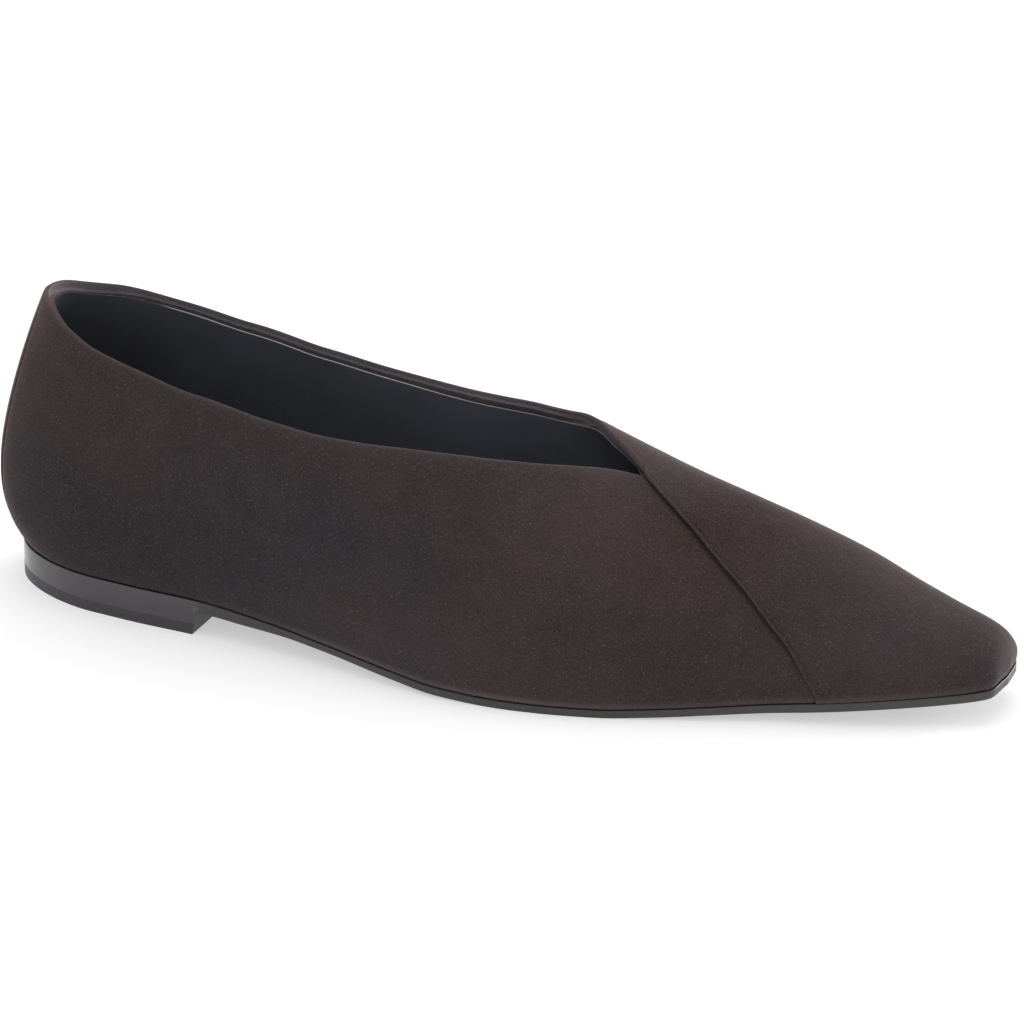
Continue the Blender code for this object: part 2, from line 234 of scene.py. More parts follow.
def last_normal(station, angle):
    """Outward direction of the surface, from two short steps along it."""
    ahead = last_point(min(station + STATION_STEP, TOE_STATION), angle)
    behind = last_point(station - STATION_STEP, angle)
    over = last_point(station, angle + ANGLE_STEP)
    under = last_point(station, angle - ANGLE_STEP)
    normal = (ahead - behind).cross(over - under)
    return normal.normalized()


def in_frame(point):
    """A point of the last's tables, in millimetres, as a place in the solids' frame, in metres."""
    return (point - MIDDLE) * MM


wall_point = last_point(100.0, radians(20.0))
wall_normal = last_normal(100.0, radians(20.0))
print("outer wall at station 100:", [round(v, 1) for v in wall_point])
print("it faces", [round(v, 2) for v in wall_normal])

# %% [markdown]
# The camera comes early, because every later choice is judged through it. It stands on the outer
# side, a little ahead of the shoe, and looks down on it through a long lens, so that the sole's
# lines stay almost parallel. Its place is worked out from two angles, a distance and an aim.

# %% Camera
CAMERA_AZIMUTH = radians(19.431)
CAMERA_ELEVATION = radians(25.0)
CAMERA_DISTANCE = 1.6
CAMERA_AIM = Vector((0.9392, 2.4493, 35.0)) * MM
FRAME_PIXELS = 1024
PIXELS_PER_MM = 3.916
AIM_SHIFT = (3.091 * MM, -0.151 * MM)

back = Vector((
    sin(CAMERA_AZIMUTH) * cos(CAMERA_ELEVATION),
    -cos(CAMERA_AZIMUTH) * cos(CAMERA_ELEVATION),
    sin(CAMERA_ELEVATION),
))
right = Vector((cos(CAMERA_AZIMUTH), sin(CAMERA_AZIMUTH), 0.0))
up = back.cross(right)
camera_data = bpy.data.cameras.new("camera")
camera_data.sensor_width = 36.0
camera_data.lens = PIXELS_PER_MM * CAMERA_DISTANCE / MM / FRAME_PIXELS * camera_data.sensor_width
camera_data.clip_end = 50.0
camera = bpy.data.objects.new("camera", camera_data)
bpy.context.scene.collection.objects.link(camera)
camera_place = CAMERA_AIM + right * AIM_SHIFT[0] + up * AIM_SHIFT[1] + back * CAMERA_DISTANCE
camera_turn = Matrix((right, up, back)).transposed()
camera.matrix_world = Matrix.Translation(camera_place) @ camera_turn.to_4x4()
bpy.context.scene.camera = camera
print("lens", round(camera_data.lens, 1), "mm at", [round(v, 3) for v in camera_place])

# %% [markdown]
# Most pieces here are sheets that follow the last. Each starts as a flat grid from a bmesh operator.
# Its columns are ribs and its rows climb from the sole, and every vertex is then carried to its place
# on the last. This keeps the faces even, and the same few functions shape suede and lining alike.

# %% Helpers for mapped sheets
SMOOTH_DEGREES = 40.0
EASE_DEGREES = 50.0


def grid_of(mesh, columns, rows):
    """A flat grid with that many columns and rows of vertices, returned as columns of vertices."""
    made = bmesh.ops.create_grid(mesh, x_segments=columns - 1, y_segments=rows - 1, size=0.5)
    found = {}
    for vert in made["verts"]:
        column = round((vert.co.x + 0.5) * (columns - 1))
        row = round((vert.co.y + 0.5) * (rows - 1))
        found[column, row] = vert
    return [[found[column, row] for row in range(rows)] for column in range(columns)]


def spread(first, last, count):
    return [first + (last - first) * index / count for index in range(count + 1)]


def nose_spread(count):
    """Stations over the nose, closer together where it turns down."""
    start = TOE_STATION - NOSE_LENGTH
    return [start + NOSE_LENGTH * sin(0.5 * pi * index / count) for index in range(count + 1)]


def piece_from(mesh, name, materials):
    data = bpy.data.meshes.new(name)
    mesh.to_mesh(data)
    mesh.free()
    for material in materials:
        data.materials.append(material)
    data.shade_smooth()
    data.set_sharp_from_angle(angle=radians(SMOOTH_DEGREES))
    piece = bpy.data.objects.new(name, data)
    bpy.context.scene.collection.objects.link(piece)
    return piece


def ease_edges(piece, width_mm, segments):
    """Rounds the sharper edges of a piece with a narrow bevel."""
    edges = piece.modifiers.new("eased_edges", "BEVEL")
    edges.width = width_mm * MM
    edges.segments = segments
    edges.limit_method = "ANGLE"
    edges.angle_limit = radians(EASE_DEGREES)


def join_the_shoe(piece, node):
    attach(piece, "root")
    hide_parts(node)
    print(piece.name, len(piece.data.polygons), "faces before its modifiers")


print("edges that turn by more than", EASE_DEGREES, "degrees are eased")

# %% [markdown]
# A lateral rib leans: it meets the sole well ahead of its upper end, because the wrap's edge runs
# that way, from the point of the throat down to the sole. A medial rib stays upright. Ahead of the
# throat the two kinds meet on a line over the vamp, which never shows.

# %% Ribs
THROAT_STATION = 174.5
THROAT_ANGLE = 80.5
WRAP_SLANT = 52.0
WRAP_SLANT_START = 60.0
WRAP_SLANT_POWER = 1.6
WRAP_CURVE = 1.6
SEAM_WANDER = 0.25
SEAM_WAVES = 4
RIB_STEPS = 24


def wrap_slant(rib):
    if rib <= THROAT_STATION:
        share = max(0.0, rib - WRAP_SLANT_START) / (THROAT_STATION - WRAP_SLANT_START)
        return WRAP_SLANT * share**WRAP_SLANT_POWER
    return WRAP_SLANT * (TOE_STATION - rib) / (TOE_STATION - THROAT_STATION)


def meeting_angle(rib):
    share = max(0.0, rib - THROAT_STATION) / (TOE_STATION - THROAT_STATION)
    return radians(THROAT_ANGLE + (90.0 - THROAT_ANGLE) * share)


def lateral_place(rib, share):
    """Station and angle at a share of the way up a lateral rib."""
    lower = rib + wrap_slant(rib)
    top = radians(COLLAR.at("lateral", rib)) if rib < THROAT_STATION else meeting_angle(rib)
    wander = SEAM_WANDER * sin(2.0 * pi * SEAM_WAVES * share) * wrap_slant(rib) / WRAP_SLANT
    return lower + (rib - lower) * share**WRAP_CURVE + wander, top * share


def medial_place(rib, share):
    """Station and angle at a share of the way up a medial rib; below zero it is past the back."""
    if rib < 0.0:
        top = radians(COLLAR.at("lateral", -rib))
    elif rib < THROAT_STATION:
        top = radians(COLLAR.at("medial", rib))
    else:
        top = pi - meeting_angle(rib)
    return rib, pi - top * share


def rib_length(place_of, rib):
    points = [last_point(*place_of(rib, step / RIB_STEPS)) for step in range(RIB_STEPS + 1)]
    return sum((after - before).length for before, after in zip(points, points[1:]))


print("rib lengths", [round(rib_length(lateral_place, rib), 1) for rib in (5.0, 90.0, THROAT_STATION)])

# %% [markdown]
# Colours are read from the photograph as sRGB hex values, and one function turns them into the linear
# values that a shader wants. One more small function adds a node with its settings and its links. The
# others build on it, for what every finish here needs: noise with features of a real size, a sum, a
# colour between two, a small relief, and a value kept at the vertices. Each finish is a short recipe.

# %% Helpers for finishes
def linear(hex_colour):
    channels = []
    for start in (1, 3, 5):
        value = int(hex_colour[start:start + 2], 16) / 255.0
        channels.append(value / 12.92 if value <= 0.04045 else ((value + 0.055) / 1.055) ** 2.4)
    return (*channels, 1.0)


def add_node(tree, kind, settings=None, inputs=None):
    node = tree.nodes.new(kind)
    for name, value in (settings or {}).items():
        setattr(node, name, value)
    for socket, value in (inputs or {}).items():
        if isinstance(value, bpy.types.NodeSocket):
            tree.links.new(value, node.inputs[socket])
        else:
            node.inputs[socket].default_value = value
    return node


def new_finish(name):
    material = bpy.data.materials.new(name)
    material.use_nodes = True
    tree = material.node_tree
    place = add_node(tree, "ShaderNodeTexCoord").outputs["Object"]
    return material, tree, tree.nodes["Principled BSDF"], place


def per_metre(size_mm):
    """Pattern scale that gives features of about that size."""
    return 1.0 / (size_mm * MM)


def noise_of(tree, place, size_mm, detail, roughness=0.5):
    inputs = {"Vector": place, "Scale": per_metre(size_mm), "Detail": detail, "Roughness": roughness}
    return add_node(tree, "ShaderNodeTexNoise", inputs=inputs).outputs["Fac"]


def times_plus(tree, value, factor, addend):
    inputs = {0: value, 1: factor, 2: addend}
    return add_node(tree, "ShaderNodeMath", {"operation": "MULTIPLY_ADD"}, inputs).outputs["Value"]


def two_tone(tree, share, first, second, low=0.0, high=1.0):
    """A colour that goes from the first to the second as the share goes from low to high."""
    ramp = add_node(tree, "ShaderNodeValToRGB", inputs={"Fac": share})
    for stop, position, colour in zip(ramp.color_ramp.elements, (low, high), (first, second)):
        stop.position = position
        stop.color = linear(colour)
    return ramp.outputs["Color"]


def relief_of(tree, height, strength, depth_mm):
    inputs = {"Height": height, "Strength": strength, "Distance": depth_mm * MM}
    return add_node(tree, "ShaderNodeBump", inputs=inputs).outputs["Normal"]


def kept_value(tree, name):
    """A value that the piece keeps at its vertices, under that name."""
    return add_node(tree, "ShaderNodeAttribute", {"attribute_name": name}).outputs["Fac"]


print("mid grey in linear light", [round(v, 4) for v in linear("#808080")[:3]])

# %% [markdown]
# Calf suede is the flesh side of the hide, buffed to a short nap. The nap scatters light, so the
# surface has no gloss but a soft bloom where it turns away from the eye. Its colour drifts from a cool
# to a warm brown. Real hairs would be too many to draw. Each suede piece keeps that drift, and painted
# light and shade that make it darker here and lighter there, as attributes at its vertices instead;
# noises add clouds, patches and the fibres themselves, and the shader's sheen gives the bloom.

# %% Brown suede
def suede_finish(name, cool, warm):
    """Suede between two browns; a lighter pair gives a copy painted lighter, as painted light."""
    material, tree, shader, place = new_finish(name)
    clouds = noise_of(tree, place, size_mm=30.0, detail=3.0, roughness=0.55)
    hue_share = times_plus(tree, clouds, 0.8, kept_value(tree, "nap_warmth"))
    hue = two_tone(tree, hue_share, cool, warm, low=0.15, high=0.85)
    patches = noise_of(tree, place, size_mm=6.0, detail=3.0)
    # Random patches, plus the painted light and shade that the piece keeps at its vertices
    patch_tone = times_plus(tree, patches, 0.42, kept_value(tree, "tone_with_painted_light_and_shade"))
    # Fibres are finer than a pixel, so they are drawn about half a millimetre wide
    nap = noise_of(tree, place, size_mm=0.55, detail=2.0, roughness=0.7)
    tone_with_painted_light_and_shade = times_plus(tree, nap, 1.1, patch_tone)
    depth_of_colour = add_node(
        tree, "ShaderNodeMapRange", {"clamp": False},
        {"Value": tone_with_painted_light_and_shade, "From Min": 0.06, "From Max": 0.76, "To Min": 0.3, "To Max": 1.0},
    )
    toned = add_node(
        tree, "ShaderNodeHueSaturation",
        inputs={"Color": hue, "Value": depth_of_colour.outputs["Result"]},
    )
    fibres = noise_of(tree, place, size_mm=0.38, detail=1.0)
    fibre_share = add_node(
        tree, "ShaderNodeMapRange",
        inputs={"Value": fibres, "From Min": 0.60, "From Max": 0.80, "To Max": 0.28},
    )
    coloured = add_node(
        tree, "ShaderNodeMix", {"data_type": "RGBA"},
        {"Factor": fibre_share.outputs["Result"], 6: toned.outputs["Color"], 7: linear("#82787a")},
    )
    nap_relief = relief_of(tree, nap, strength=0.4, depth_mm=0.4)
    tree.links.new(coloured.outputs[2], shader.inputs["Base Color"])
    tree.links.new(nap_relief, shader.inputs["Normal"])
    shader.inputs["Roughness"].default_value = 0.95
    shader.inputs["Specular IOR Level"].default_value = 0.15
    shader.inputs["Sheen Weight"].default_value = 0.56
    shader.inputs["Sheen Roughness"].default_value = 0.22
    shader.inputs["Sheen Tint"].default_value = linear("#c0aeaa")
    print(name, "nodes", len(tree.nodes))
    return material


suede = suede_finish("brushed_brown_suede", "#2d292c", "#3c2f2c")
# Inside the collar the fold was turned by hand; its suede is painted lighter, as painted light on its
# shaded face and rolled top
fold_suede_painted_lighter = suede_finish("brown_suede_painted_lighter", "#444145", "#4b4446")

# %% [markdown]
# The lining is thin pig or goat leather, dyed black and lightly finished: smooth, with a low satin
# gloss and a fine pebbled grain, for which a Voronoi pattern serves well. How much light reaches it
# differs along the shoe, so the piece keeps a tone at its vertices, which this finish multiplies in.

# %% Black lining leather
lining_leather, tree, shader, place = new_finish("black_lining_leather")
# The black leather is drawn mid grey, painted lighter as painted light inside the shoe; the kept tone adds
# painted light and shade along it
dye_painted_lighter = two_tone(tree, noise_of(tree, place, size_mm=22.0, detail=3.0), "#4e4f57", "#595b64", 0.3, 0.75)
dye_with_painted_shading = add_node(
    tree, "ShaderNodeHueSaturation",
    inputs={"Color": dye_painted_lighter, "Value": kept_value(tree, "lining_tone")},
)
grain = add_node(tree, "ShaderNodeTexVoronoi", inputs={"Vector": place, "Scale": per_metre(0.9)})
grain_relief = relief_of(tree, grain.outputs["Distance"], strength=0.12, depth_mm=0.3)
tree.links.new(dye_with_painted_shading.outputs["Color"], shader.inputs["Base Color"])
tree.links.new(grain_relief, shader.inputs["Normal"])
shader.inputs["Roughness"].default_value = 0.5
shader.inputs["Specular IOR Level"].default_value = 0.4
print(lining_leather.name, "nodes", len(tree.nodes))

# %% [markdown]
# The lining's raw cut edge is paler than its face, and a little flecked. Along the sides a painted
# highlight makes it a bright line, and round the heel it is left dim. A second value at the vertices says
# where.

# %% Raw lining edge
cut_edge, tree, shader, place = new_finish("raw_lining_edge")
flecks = noise_of(tree, place, size_mm=1.5, detail=2.0)
# The edge's own paleness with a painted highlight, kept at the vertices
fleck_share = times_plus(tree, flecks, 0.3, kept_value(tree, "edge_paleness_and_highlight"))
edge_colour = two_tone(tree, fleck_share, "#202024", "#b9b8bb", low=0.15)
tree.links.new(edge_colour, shader.inputs["Base Color"])
shader.inputs["Roughness"].default_value = 0.85
shader.inputs["Specular IOR Level"].default_value = 0.15
print(cut_edge.name, "nodes", len(tree.nodes))

# %% [markdown]
# The sole's edge is leather, trimmed, inked and burnished, so it is satin and a little streaked along
# its length. Noise squeezed upright and stretched along the floor draws such streaks.

# %% Burnished sole leather
sole_leather, tree, shader, place = new_finish("burnished_sole_leather")
along = add_node(tree, "ShaderNodeMapping", inputs={"Vector": place, "Scale": (0.12, 0.12, 1.0)})
streaks = noise_of(tree, along.outputs["Vector"], size_mm=0.6, detail=3.0)
ink = two_tone(tree, streaks, "#2d2929", "#373332", low=0.3, high=0.75)
streak_relief = relief_of(tree, streaks, strength=0.12, depth_mm=0.3)
tree.links.new(ink, shader.inputs["Base Color"])
tree.links.new(streak_relief, shader.inputs["Normal"])
shader.inputs["Roughness"].default_value = 0.36
print(sole_leather.name, "nodes", len(tree.nodes))

# %% [markdown]
# The heel is a stack of the same leather, polished until it mirrors the pale floor. A clear coat over
# a satin base does that better than one glossy layer, because the stack still shows faintly below it.

# %% Polished heel leather
heel_polish, tree, shader, place = new_finish("polished_heel_leather")
stack = add_node(tree, "ShaderNodeMapping", inputs={"Vector": place, "Scale": (0.08, 0.08, 1.0)})
layers = noise_of(tree, stack.outputs["Vector"], size_mm=0.9, detail=2.0)
stain = two_tone(tree, layers, "#221c24", "#282229", low=0.3, high=0.75)
tree.links.new(stain, shader.inputs["Base Color"])
shader.inputs["Roughness"].default_value = 0.24
shader.inputs["Coat Weight"].default_value = 0.65
shader.inputs["Coat Roughness"].default_value = 0.12
print(heel_polish.name, "nodes", len(tree.nodes))

# %% [markdown]
# The heel's tip is hard rubber, a little duller than the polish, with the fine crumb of a moulded sheet.

# %% Hard heel rubber
tip_rubber, tree, shader, place = new_finish("hard_heel_rubber")
crumb = noise_of(tree, place, size_mm=0.8, detail=2.0)
crumb_relief = relief_of(tree, crumb, strength=0.1, depth_mm=0.2)
tree.links.new(two_tone(tree, crumb, "#282329", "#302a31"), shader.inputs["Base Color"])
tree.links.new(crumb_relief, shader.inputs["Normal"])
shader.inputs["Roughness"].default_value = 0.4
print(tip_rubber.name, "nodes", len(tree.nodes))

# %% [markdown]
# The zones are placed by eye, as one would point them out on the shoe: how far along it, how high
# above the floor, how wide and tall, how much they lighten or darken it as painted light and shade,
# and whether the suede there is cooler or warmer. They fade into each other as soft hills do.

# %% Zones of painted light, shade and warmth
ZONE_COLUMNS = ("station", "height", "length", "tall", "tone", "warmth")
# The tone column is painted light and shade, lighter or darker zone by zone; warmth is the suede's own
# drift of colour
LIGHT_SHADE_AND_WARMTH_ZONES = (
    (50.0, 24.0, 34.0, 15.0, -0.10, -0.25),
    (165.0, 45.0, 22.0, 13.0, 0.12, 0.25),
    (205.0, 38.0, 26.0, 12.0, -0.04, 0.25),
    (199.0, 47.0, 18.0, 8.0, -0.38, 0.25),
    (6.0, 79.0, 10.0, 9.0, 0.90, 0.3),
    (2.0, 42.0, 9.0, 26.0, 0.16, 0.0),
    (228.0, 26.0, 20.0, 10.0, 0.08, 0.0),
    (180.0, 18.0, 36.0, 9.0, -0.08, -0.10),
    (240.0, 9.0, 26.0, 6.0, -0.06, 0.05),
    (250.0, 20.0, 18.0, 10.0, 0.30, 0.0),
    (271.0, 14.0, 3.2, 9.0, 0.70, -0.1),
    (90.0, 34.0, 40.0, 22.0, 0.04, -0.20),
    (120.0, 11.0, 55.0, 13.0, 0.28, -0.05),
)
PAINTED_FOOT_BOUNCE = Table(
    ("station", "tone"),
    ((0.0, 0.20), (60.0, 0.30), (80.0, 0.90), (100.0, 1.80), (150.0, 1.80), (190.0, 1.10), (269.4, 0.70)),
)
PAINTED_FOOT_BOUNCE_HEIGHT = 1.3


def painted_light_shade_and_warmth(point, column):
    """Sum of the zones' hills at a point, for one of the last two columns."""
    total = 0.0
    for row in LIGHT_SHADE_AND_WARMTH_ZONES:
        zone = dict(zip(ZONE_COLUMNS, row))
        away = (point.x - zone["station"]) / zone["length"]
        above = (point.z - zone["height"]) / zone["tall"]
        total += zone[column] * exp(-away * away - above * above)
    return total


def painted_foot_bounce(point):
    """Painted light of the floor's bounce on the last millimetre above the sole, where the suede turns
    under.
    """
    height = point.z - LAST.at("feather", point.x) - SEAT_GAP
    return PAINTED_FOOT_BOUNCE.at("tone", point.x) * exp(-(height / PAINTED_FOOT_BOUNCE_HEIGHT) ** 2)


print("zones", len(LIGHT_SHADE_AND_WARMTH_ZONES))

# %% [markdown]
# At the collar the suede is skived, folded over a tape and glued, so the edge is a soft round roll, some
# two millimetres thick at the sides and three at the heel, and the fold shows inside for a few more.
# Below it the suede is one layer. At the foot of the wall it curls in over the sole's edge, which
# leaves a dark line there. One table says how far below the collar the lining is sewn on, on either
# side, because the fold has to end out of sight under it, and how pale its edge is drawn, with a painted
# highlight.
# All this is written as rows up a rib, each with its thickness, so that one sheet can be both thin and
# folded.

# %% Folded collar and curled foot
SINGLE = 1.0
FOLD = Table(
    ("station", "thickness"),
    ((0.0, 3.4), (14.0, 3.4), (22.0, 3.2), (29.0, 2.6), (37.0, 2.1), (174.5, 2.0)),
)
ROLL_TURNS = (15.0, 35.0, 55.0, 75.0, 90.0)
LINING_EDGE = Table(
    ("station", "outer", "inner", "paleness_and_highlight"),
    (
        (0.0, 2.3, 2.3, 0.00),
        (34.0, 2.5, 2.5, 0.10),
        (40.0, 2.6, 2.6, 0.80),
        (60.0, 2.8, 2.8, 1.00),
        (100.0, 2.9, 2.9, 0.95),
        (112.0, 3.1, 3.3, 0.78),
        (122.0, 3.2, 3.6, 0.60),
        (138.0, 3.3, 4.3, 0.50),
        (145.0, 3.3, 4.9, 0.46),
        (150.0, 3.2, 5.9, 0.42),
        (154.5, 3.1, 7.0, 0.38),
        (158.0, 3.0, 6.4, 0.34),
        (161.0, 2.8, 4.6, 0.30),
        (165.0, 2.5, 2.6, 0.20),
        (170.0, 2.2, 1.9, 0.06),
        (174.5, 2.0, 2.0, 0.04),
    ),
)
FOLD_TUCK = 0.9
FOLD_TAPER = 1.8
FOLD_STEPS = (0.0, 0.5, 1.0)
FOLD_SHARE = 0.4
FOOT_CURL = Table(("height", "inset"), ((0.0, 0.20), (0.3, 0.09), (0.7, 0.03), (1.3, 0.0), (2.5, 0.0)))
FOOT_DROP = 0.25
FOOT_DROP_HEIGHT = 0.9
WALL_ROWS = 32
FOLD_RUN_OUT = 2.5
SUEDE_ROWS = len(FOOT_CURL.places) + WALL_ROWS + len(FOLD_STEPS) + len(ROLL_TURNS)


def fold_thickness(rib):
    """The fold fades out ahead of the throat's point, where there is no collar."""
    folded = min(1.0, max(0.0, (THROAT_STATION - rib) / FOLD_RUN_OUT))
    return SINGLE + (FOLD.at("thickness", abs(rib)) - SINGLE) * folded


def lining_depth(rib, place_of):
    """How far below the collar the lining's edge is sewn."""
    return LINING_EDGE.at("outer" if place_of is lateral_place else "inner", abs(rib))


def rib_rows(rib, length, fold_end):
    """Rows up a rib, as the share of the way up, the thickness and how far the outer face sits in."""
    radius = 0.5 * fold_thickness(rib)
    squeeze = min(1.0, FOLD_SHARE * length / (fold_end + FOLD_TAPER))
    rows = []
    for height in FOOT_CURL.places:
        rows.append((height * squeeze / length, SINGLE, FOOT_CURL.at("inset", height)))
    low = rows[-1][0]
    high = 1.0 - (fold_end + FOLD_TAPER) * squeeze / length
    for share in spread(low, high, WALL_ROWS + 1)[1:-1]:
        rows.append((share, SINGLE, 0.0))
    for full in FOLD_STEPS:
        depth = fold_end + FOLD_TAPER * (1.0 - full)
        rows.append((1.0 - depth * squeeze / length, SINGLE + (2.0 * radius - SINGLE) * full, 0.0))
    for turn in reversed(ROLL_TURNS):
        depth = radius * (1.0 - cos(radians(turn)))
        half = radius * sin(radians(turn))
        inset = radius - half
        if rib >= THROAT_STATION:
            half, inset = radius, 0.0
        rows.append((1.0 - depth * squeeze / length, 2.0 * half, inset))
    return rows


print("suede rows", SUEDE_ROWS)

# %% [markdown]
# A grid can now be laid on the last. Each vertex goes to its place on a rib, and from there outwards by
# the relief that the piece has. A vertex group keeps the thickness, row by row, for the Solidify
# modifier that turns the mapped sheet into leather, and a Bevel softens its edges. Modelling the inner
# face by hand would need every row twice, and the two faces would soon disagree.

# %% Laying and finishing suede
THICKEST = 3.4
SUEDE_EASE = 0.32


def lay_suede(columns, ribs, place_of, lift_of, painted_light_of, notes):
    """Carries a grid onto the last, lifted, and notes each vertex's thickness and painted light and shade
    at its edges.
    """
    for rib, column in zip(ribs, columns):
        length = rib_length(place_of, rib)
        fold_end = lining_depth(rib, place_of) + FOLD_TUCK
        for vert, (share, thickness, inset) in zip(column, rib_rows(rib, length, fold_end)):
            station, angle = place_of(rib, share)
            normal = last_normal(station, angle)
            moved = last_point(station, angle) + normal * (lift_of(rib, share) - inset)
            seat = LAST.at("feather", abs(station)) + SEAT_GAP
            moved.z = max(moved.z, seat)
            moved.z -= FOOT_DROP * exp(-((moved.z - seat) / FOOT_DROP_HEIGHT) ** 2)
            vert.co = in_frame(moved)
            notes[vert] = (thickness / THICKEST, painted_light_of(rib, share, length))


def finish_suede(mesh, notes, name):
    """Makes the piece, with its thickness group, its painted light and shade, its warmth and its two
    modifiers.
    """
    mesh.verts.index_update()
    by_index = {vert.index: note for vert, note in notes.items() if vert.is_valid}
    piece = piece_from(mesh, name, [suede, fold_suede_painted_lighter])
    group = piece.vertex_groups.new(name="thickness")
    for index, (weight, _) in by_index.items():
        group.add([index], weight, "REPLACE")
    tones = piece.data.attributes.new("tone_with_painted_light_and_shade", "FLOAT", "POINT").data
    warmths = piece.data.attributes.new("nap_warmth", "FLOAT", "POINT").data
    for vert, tone, warmth in zip(piece.data.vertices, tones, warmths):
        point = vert.co / MM + MIDDLE
        # Painted light and shade: the zones, the floor's bounce at the foot, and the highlights and shade
        # along the edges
        tone.value = painted_light_shade_and_warmth(point, "tone") + painted_foot_bounce(point) + by_index[vert.index][1]
        warmth.value = painted_light_shade_and_warmth(point, "warmth")
    thick = piece.modifiers.new("leather", "SOLIDIFY")
    thick.thickness = THICKEST * MM
    thick.offset = -1.0
    thick.vertex_group = "thickness"
    # The inner face and the rim take the suede painted lighter, as painted light inside the collar
    thick.material_offset = 1
    thick.material_offset_rim = 1
    ease_edges(piece, SUEDE_EASE, 3)
    return piece


print("thickest suede", THICKEST, "mm")

# %% [markdown]
# Where two pieces of suede meet, the edges are never knife sharp. At the back seam both are stitched
# right sides together and opened, so they sink into a narrow valley. Along the wrap the edge is folded
# and pressed: a low bead, a shallow valley behind it, and the quarter pressed down in front of it. The
# grids have close columns at both seams, so this relief is in the mesh and shows from every side.

# %% Seam reliefs
BACK_SEAM = 8.2
SEAM_GAP = 0.06
SEAM_BRIDGE = 0.08
SEAM_COLUMNS = (0.0, 0.12, 0.28, 0.5, 0.8, 1.2, 1.8)
SEAM_VALLEY = Table(
    ("distance", "height"),
    ((0.0, -0.60), (0.3, -0.36), (0.8, -0.12), (1.4, -0.02), (2.2, 0.0)),
)
WRAP_STEP = 1.1
WRAP_FADE_BACK = 25.0
WRAP_COLUMNS = (0.0, 0.2, 0.4, 0.6, 0.8, 1.0, 1.2, 1.45, 1.7, 2.0, 2.4, 2.9, 3.5, 4.2, 5.6, 7.2)
WRAP_BEAD = Table(
    ("distance", "height"),
    (
        (0.0, -0.02), (0.25, 0.06), (0.45, 0.08), (0.65, 0.0),
        (0.85, -0.15), (1.05, -0.12), (1.5, -0.05), (2.6, 0.0),
    ),
)
QUARTER_PRESS = Table(
    ("distance", "height"),
    ((0.0, -0.42), (0.4, -0.32), (0.8, -0.14), (1.3, -0.03), (2.0, 0.0)),
)
# Painted highlight on the wrap's bead and painted shade in the valley behind it
WRAP_EDGE_PAINTED_SHADING = Table(
    ("distance", "tone"),
    (
        (0.0, 0.05), (0.25, 0.16), (0.45, 0.14), (0.65, 0.0),
        (0.85, -0.22), (1.05, -0.18), (1.5, -0.07), (4.0, 0.0),
    ),
)
SEAM_SHOW = Table(("share", "depth"), ((0.0, 0.40), (0.12, 0.46), (0.40, 0.95), (0.55, 1.0), (1.0, 1.0)))
FAN_SPREAD = 1.5
WRAP_LEAN = 0.8
SHORT_STEP = 0.01


def wrap_distance(rib, share):
    """Millimetres from the wrap's edge, on the surface, for a lateral rib."""
    per_rib = (wrap_slant(rib + SHORT_STEP) - wrap_slant(rib)) / SHORT_STEP
    upright = share**WRAP_CURVE
    return abs(rib - THROAT_STATION) * (upright + (1.0 + per_rib) * (1.0 - upright)) * WRAP_LEAN


def seam_valley(rib, share):
    """The valley grows shallow at the top, where the fold bridges it."""
    bridged = exp(-((1.0 - share) / SEAM_BRIDGE) ** 2)
    return SEAM_VALLEY.at("height", abs(abs(rib) - BACK_SEAM) * FAN_SPREAD) * (1.0 - bridged)


def wrap_height(rib):
    if rib < THROAT_STATION:
        return WRAP_STEP * max(0.0, 1.0 - (THROAT_STATION - rib) / WRAP_FADE_BACK)
    return WRAP_STEP * (TOE_STATION - rib) / (TOE_STATION - THROAT_STATION)


halfway_up = [round(wrap_distance(THROAT_STATION + step, 0.5), 2) for step in WRAP_COLUMNS]
print("columns from the wrap's edge, halfway up:", halfway_up)

# %% [markdown]
# The outer quarter runs from the back seam to just under the wrap's edge. It is one layer on the
# last, and its last few columns lie hidden below the wrap, as the lap of a real one does. It could end
# at the seam, but then light would show through wherever the wrap lifts.

# %% Outer quarter
UNDERLAP = 7.0
UNDERLAP_STEPS = 4
QUARTER_STEPS = 84
COLLAR_HIGHLIGHT_TONE = 0.45
COLLAR_HIGHLIGHT_REACH = 1.1


def quarter_lift(rib, share):
    if rib >= THROAT_STATION:
        return QUARTER_PRESS.at("height", 0.0) * SEAM_SHOW.at("depth", share)
    press = QUARTER_PRESS.at("height", wrap_distance(rib, share)) * SEAM_SHOW.at("depth", share)
    return seam_valley(rib, share) + press


def collar_painted_highlight(rib, share, length):
    """The rolled edge gets a painted highlight; ahead of the throat there is no edge."""
    if rib >= THROAT_STATION:
        return 0.0
    return COLLAR_HIGHLIGHT_TONE * exp(-((1.0 - share) * length / COLLAR_HIGHLIGHT_REACH) ** 2)


mesh = bmesh.new()
quarter_ribs = [BACK_SEAM + SEAM_GAP + step for step in SEAM_COLUMNS]
quarter_ribs += spread(quarter_ribs[-1], THROAT_STATION - WRAP_COLUMNS[-1], QUARTER_STEPS)[1:]
quarter_ribs += [THROAT_STATION - step for step in reversed(WRAP_COLUMNS[:-1])]
quarter_ribs += spread(THROAT_STATION, THROAT_STATION + UNDERLAP, UNDERLAP_STEPS)[1:]
columns = grid_of(mesh, len(quarter_ribs), SUEDE_ROWS)
suede_notes = {}
lay_suede(columns, quarter_ribs, lateral_place, quarter_lift, collar_painted_highlight, suede_notes)
quarter = finish_suede(mesh, suede_notes, "suede_quarter")
join_the_shoe(quarter, "upper")

